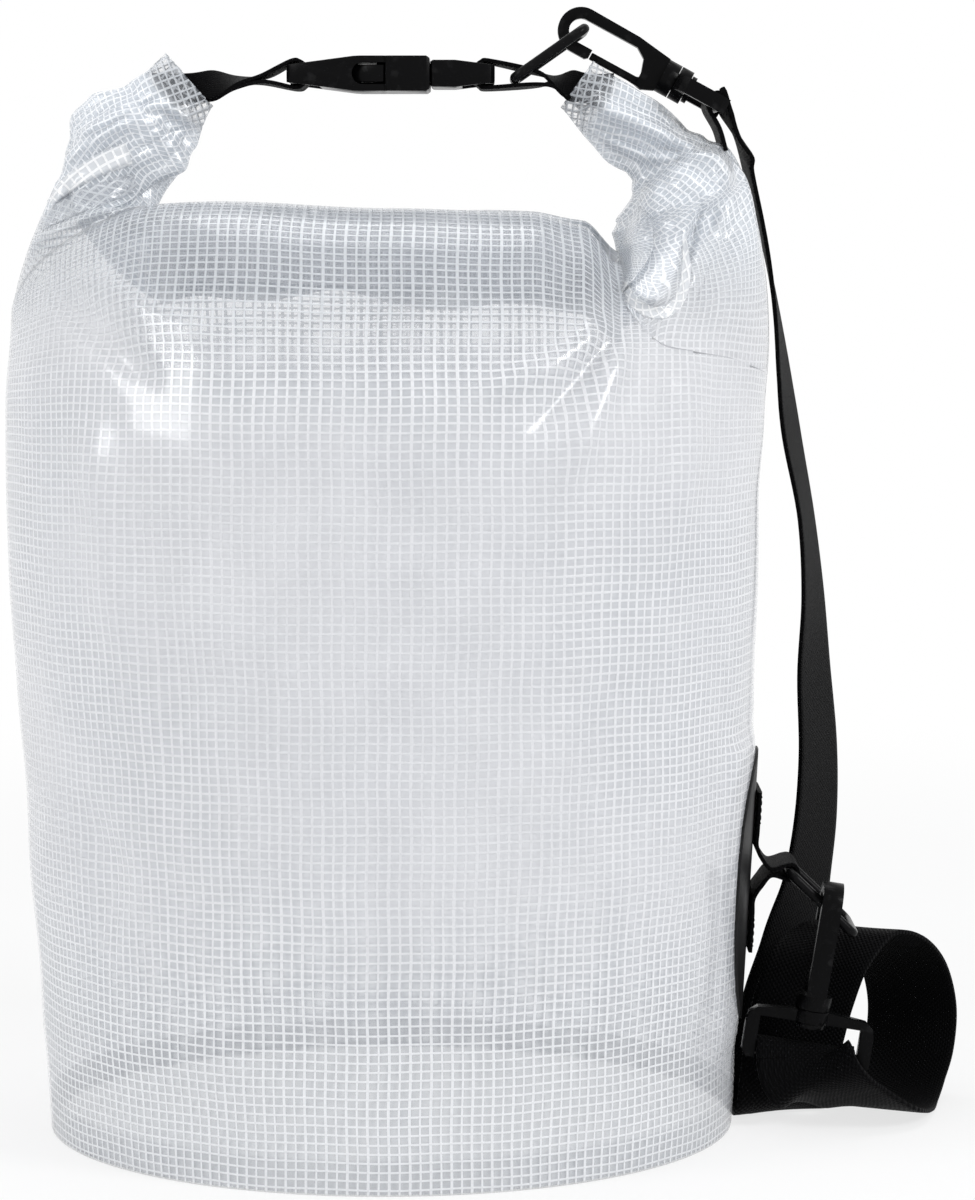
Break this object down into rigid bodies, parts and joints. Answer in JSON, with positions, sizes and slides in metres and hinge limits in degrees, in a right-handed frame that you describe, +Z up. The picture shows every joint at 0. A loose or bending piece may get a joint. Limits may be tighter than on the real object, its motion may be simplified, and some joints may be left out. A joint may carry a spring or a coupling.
{
  "type": "dry bag",
  "caption": "Round-based roll-top dry bag of clear mesh-reinforced sheet, its rolled mouth bent up and buckled as a carry handle, with a clip-on shoulder strap.",
  "frame": {"origin": "centre of the underside of the round base", "axes": "+Z up, +X to the right in the front view towards the side patch, -Y to the front"},
  "size_m": [0.3085, 0.2207, 0.3577],
  "materials": {
    "mesh_sheet": "clear film with white threads",
    "stiffener": "satin",
    "webbing": "woven",
    "patch_sheet": "coated fabric",
    "moulding": "fine moulded texture"
  },
  "bodies": {
    "bag": {"bag_wall": "mesh_sheet", "base_panel": "mesh_sheet", "back_seam": "mesh_sheet", "rolled_mouth": "mesh_sheet", "mouth_stiffener": "stiffener", "right_horn": "mesh_sheet", "right_web_loop": "webbing", "buckle_plug": "moulding", "upper_swivel": "moulding", "side_patch": "patch_sheet", "side_tab": "webbing", "lower_swivel": "moulding", "strap_run": "webbing", "strap_loop": "webbing"},
    "left_handle": {"left_horn": "mesh_sheet", "left_web_loop": "webbing", "buckle_socket": "moulding"},
    "front_arm": {"front_spring_arm": "moulding"},
    "back_arm": {"back_spring_arm": "moulding"},
    "ring_top": {"handle_ring": "moulding"},
    "hook_top": {"upper_hook": "moulding"},
    "gate_top": {"upper_gate": "moulding"},
    "ring_side": {"side_ring": "moulding"},
    "hook_low": {"lower_hook": "moulding"},
    "gate_low": {"lower_gate": "moulding"}
  },
  "joints": [
    {"name": "left_horn_swing", "type": "hinge", "parent": "bag", "child": "left_handle", "pos_m": [-0.094, 0, 0.2944], "axis": [0, -1, 0], "range_deg": [0, 100], "deforming": ["front_spring_arm", "back_spring_arm"]},
    {"name": "front_arm_squeeze", "type": "hinge", "parent": "bag", "child": "front_arm", "pos_m": [0.0137, -0.0119, 0.336], "axis": [0, 0, -1], "range_deg": [0, 10], "stiffness_Nm_per_rad": 0.15},
    {"name": "back_arm_squeeze", "type": "hinge", "parent": "bag", "child": "back_arm", "pos_m": [0.0137, 0.0119, 0.336], "axis": [0, 0, 1], "range_deg": [0, 10], "stiffness_Nm_per_rad": 0.15},
    {"name": "handle_ring_tilt", "type": "hinge", "parent": "bag", "child": "ring_top", "pos_m": [0.0397, 0, 0.3348], "axis": [0, -1, 0], "range_deg": [-3, 3]},
    {"name": "upper_hook_swivel", "type": "hinge", "parent": "bag", "child": "hook_top", "pos_m": [0.08672, 0.008, 0.33626], "axis": [-0.8788, 0, 0.4772], "range_deg": [-12, 12]},
    {"name": "upper_gate_open", "type": "hinge", "parent": "hook_top", "child": "gate_top", "pos_m": [0.08072, 0.008, 0.3336], "axis": [0, 1, 0], "range_deg": [0, 16], "stiffness_Nm_per_rad": 0.05},
    {"name": "side_ring_tilt", "type": "hinge", "parent": "bag", "child": "ring_side", "pos_m": [0.12807, 0, 0.082], "axis": [0, 1, 0], "range_deg": [-3, 3]},
    {"name": "lower_hook_swivel", "type": "hinge", "parent": "bag", "child": "hook_low", "pos_m": [0.13598, -0.0151, 0.04293], "axis": [0.1564, 0, 0.9877], "range_deg": [-12, 12]},
    {"name": "lower_gate_open", "type": "hinge", "parent": "hook_low", "child": "gate_low", "pos_m": [0.13661, -0.0099, 0.04688], "axis": [0.9877, 0, -0.1564], "range_deg": [0, 16], "stiffness_Nm_per_rad": 0.05}
  ],
  "couplings": [
    {"joint": "back_arm_squeeze", "follows": "front_arm_squeeze", "ratio": 1}
  ]
}
